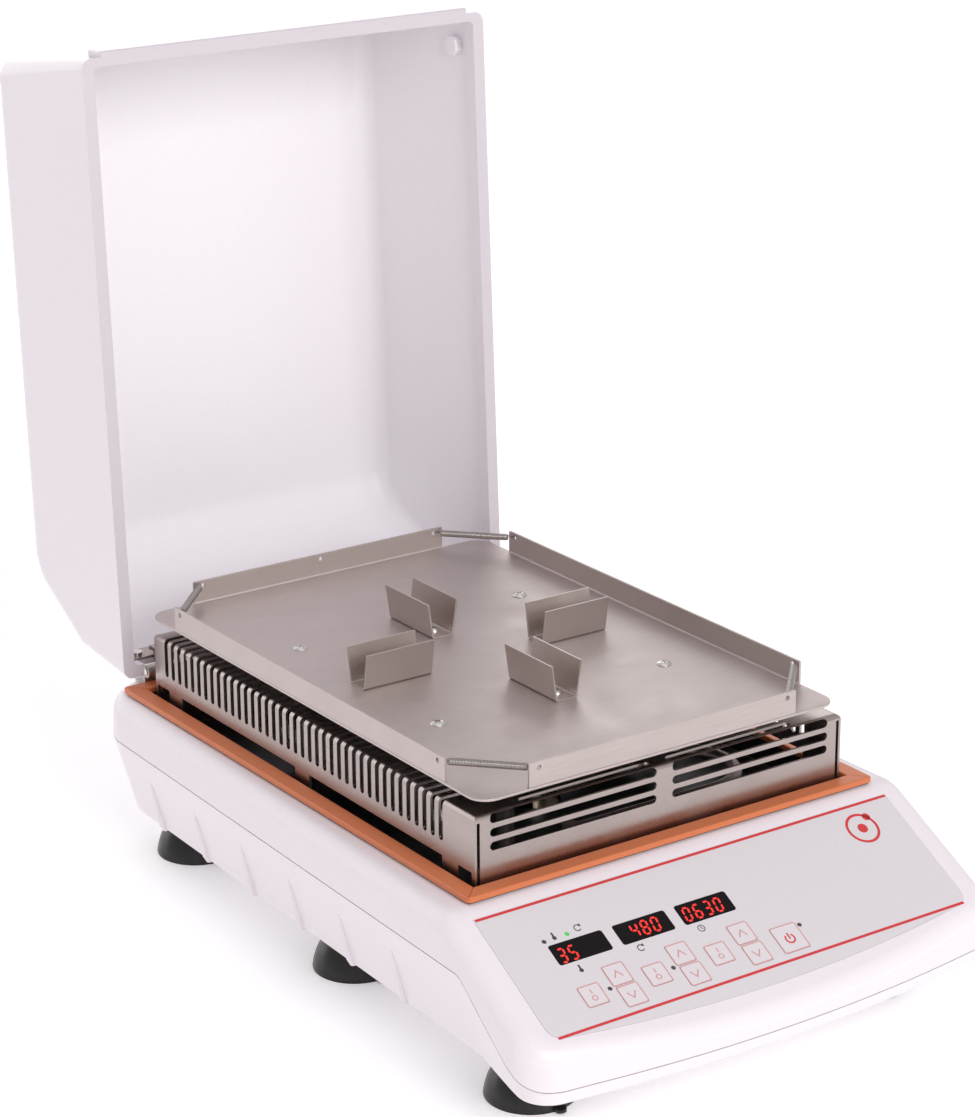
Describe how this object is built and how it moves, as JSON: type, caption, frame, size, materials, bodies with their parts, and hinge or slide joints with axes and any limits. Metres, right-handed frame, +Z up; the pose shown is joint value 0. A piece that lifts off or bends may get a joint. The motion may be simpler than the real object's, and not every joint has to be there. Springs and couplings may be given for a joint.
{
  "type": "orbital shaker",
  "caption": "Incubating benchtop orbital shaker with a sloped control panel, a slotted heater guard, a flanged steel tray with plate clips, and a deep rear-hinged lid standing open.",
  "frame": {"origin": "middle of the shaker's footprint with the lid open, on the surface the suction feet stand on", "axes": "+Z up; -Y towards the user, where the control panel faces; +X to the user's right; lengths in metres"},
  "size_m": [0.255, 0.4862, 0.3921],
  "materials": {
    "white_shell": "moulded, faint lilac cast",
    "rubber_black": "glossy black",
    "silicone_orange": "matt",
    "stainless_brushed": "brushed",
    "stainless_satin": "satin",
    "steel_dark": "dark enamel",
    "steel_bright": "machined",
    "aluminium_cast": "cast",
    "motor_black": "satin",
    "belt_black": "toothed belt",
    "board_green": "circuit board",
    "overlay_grey": "printed film",
    "key_grey": "printed film",
    "window_black": "tinted",
    "led_green": "translucent",
    "inlet_black": "moulded",
    "brass_weight": "turned",
    "screw_steel": "zinc plated",
    "plastic_black": "moulded"
  },
  "bodies": {
    "base": {"upper_housing": "white_shell", "lower_housing": "white_shell", "chassis_plate": "steel_bright", "chamber_pan": "steel_dark", "chamber_gasket": "silicone_orange", "guard_cover": "stainless_brushed", "guard_screws": "screw_steel", "heater_element": "stainless_satin", "temperature_probe": "steel_bright", "fan_motor": "motor_black", "bearing_towers": "aluminium_cast", "main_bearings": "steel_bright", "drive_motor": "motor_black", "drive_belt": "belt_black", "control_board": "board_green", "power_supply": "board_green", "display_board": "board_green", "panel_overlay": "overlay_grey", "display_windows": "window_black", "indicator_leds": "led_green", "suction_feet": "rubber_black", "foot_screws": "screw_steel", "housing_screws": "screw_steel", "power_inlet": "inlet_black", "hinge_bases": "stainless_brushed"},
    "lid": {"lid_shell": "white_shell", "lid_hinge_strip": "stainless_brushed", "lid_hinge_screws": "screw_steel", "hinge_pins": "steel_bright"},
    "crank": {"crankshaft": "steel_bright", "counterweight": "brass_weight", "driven_pulley": "aluminium_cast"},
    "idler_left": {"idler_crank_left": "steel_bright"},
    "idler_right": {"idler_crank_right": "steel_bright"},
    "motor_rotor": {"motor_pulley": "aluminium_cast"},
    "fan": {"fan_wheel": "plastic_black"},
    "platform": {"tray_carrier": "aluminium_cast", "carrier_bearings": "steel_bright", "tray_standoffs": "steel_bright", "tray": "stainless_brushed", "tray_screws": "screw_steel", "plate_clip_left": "stainless_satin", "plate_clip_right": "stainless_satin", "plate_clip_front": "stainless_satin", "plate_clip_rear": "stainless_satin", "clip_screws": "screw_steel", "corner_springs": "steel_bright"},
    "key_temp_power_cap": {"key_temp_power": "key_grey"},
    "key_temp_up_cap": {"key_temp_up": "key_grey"},
    "key_temp_down_cap": {"key_temp_down": "key_grey"},
    "key_speed_power_cap": {"key_speed_power": "key_grey"},
    "key_speed_up_cap": {"key_speed_up": "key_grey"},
    "key_speed_down_cap": {"key_speed_down": "key_grey"},
    "key_time_power_cap": {"key_time_power": "key_grey"},
    "key_time_up_cap": {"key_time_up": "key_grey"},
    "key_time_down_cap": {"key_time_down": "key_grey"},
    "key_standby_cap": {"key_standby": "key_grey"}
  },
  "joints": [
    {"name": "lid_hinge", "type": "hinge", "parent": "base", "child": "lid", "pos_m": [0, 0.13296, 0.0925], "axis": [1, 0, 0], "range_deg": [0, 92.6]},
    {"name": "crank_spin", "type": "hinge", "parent": "base", "child": "crank", "pos_m": [0, -0.05314, 0.088], "axis": [0, 0, 1], "continuous": true},
    {"name": "platform_orbit", "type": "hinge", "parent": "crank", "child": "platform", "pos_m": [-0.00126, -0.05232, 0.088], "axis": [0, 0, 1], "continuous": true},
    {"name": "idler_left_spin", "type": "hinge", "parent": "base", "child": "idler_left", "pos_m": [-0.052, 0.01686, 0.088], "axis": [0, 0, 1], "continuous": true},
    {"name": "idler_right_spin", "type": "hinge", "parent": "base", "child": "idler_right", "pos_m": [0.052, 0.01686, 0.088], "axis": [0, 0, 1], "continuous": true},
    {"name": "motor_spin", "type": "hinge", "parent": "base", "child": "motor_rotor", "pos_m": [0, 0.03086, 0.088], "axis": [0, 0, 1], "continuous": true},
    {"name": "fan_spin", "type": "hinge", "parent": "base", "child": "fan", "pos_m": [0, 0.08086, 0.088], "axis": [0, 0, 1], "continuous": true},
    {"name": "key_temp_power_press", "type": "slide", "parent": "base", "child": "key_temp_power_cap", "axis": [0, 0.4848, -0.8746], "range_m": [0, 0.0004], "stiffness_N_per_m": 2000, "springref_m": -0.0003},
    {"name": "key_temp_up_press", "type": "slide", "parent": "base", "child": "key_temp_up_cap", "axis": [0, 0.4848, -0.8746], "range_m": [0, 0.0004], "stiffness_N_per_m": 2000, "springref_m": -0.0003},
    {"name": "key_temp_down_press", "type": "slide", "parent": "base", "child": "key_temp_down_cap", "axis": [0, 0.4848, -0.8746], "range_m": [0, 0.0004], "stiffness_N_per_m": 2000, "springref_m": -0.0003},
    {"name": "key_speed_power_press", "type": "slide", "parent": "base", "child": "key_speed_power_cap", "axis": [0, 0.4848, -0.8746], "range_m": [0, 0.0004], "stiffness_N_per_m": 2000, "springref_m": -0.0003},
    {"name": "key_speed_up_press", "type": "slide", "parent": "base", "child": "key_speed_up_cap", "axis": [0, 0.4848, -0.8746], "range_m": [0, 0.0004], "stiffness_N_per_m": 2000, "springref_m": -0.0003},
    {"name": "key_speed_down_press", "type": "slide", "parent": "base", "child": "key_speed_down_cap", "axis": [0, 0.4848, -0.8746], "range_m": [0, 0.0004], "stiffness_N_per_m": 2000, "springref_m": -0.0003},
    {"name": "key_time_power_press", "type": "slide", "parent": "base", "child": "key_time_power_cap", "axis": [0, 0.4848, -0.8746], "range_m": [0, 0.0004], "stiffness_N_per_m": 2000, "springref_m": -0.0003},
    {"name": "key_time_up_press", "type": "slide", "parent": "base", "child": "key_time_up_cap", "axis": [0, 0.4848, -0.8746], "range_m": [0, 0.0004], "stiffness_N_per_m": 2000, "springref_m": -0.0003},
    {"name": "key_time_down_press", "type": "slide", "parent": "base", "child": "key_time_down_cap", "axis": [0, 0.4848, -0.8746], "range_m": [0, 0.0004], "stiffness_N_per_m": 2000, "springref_m": -0.0003},
    {"name": "key_standby_press", "type": "slide", "parent": "base", "child": "key_standby_cap", "axis": [0, 0.4848, -0.8746], "range_m": [0, 0.0004], "stiffness_N_per_m": 2000, "springref_m": -0.0003}
  ],
  "couplings": [
    {"joint": "platform_orbit", "follows": "crank_spin", "ratio": -1},
    {"joint": "idler_left_spin", "follows": "crank_spin", "ratio": 1},
    {"joint": "idler_right_spin", "follows": "crank_spin", "ratio": 1},
    {"joint": "motor_spin", "follows": "crank_spin", "ratio": 2}
  ]
}
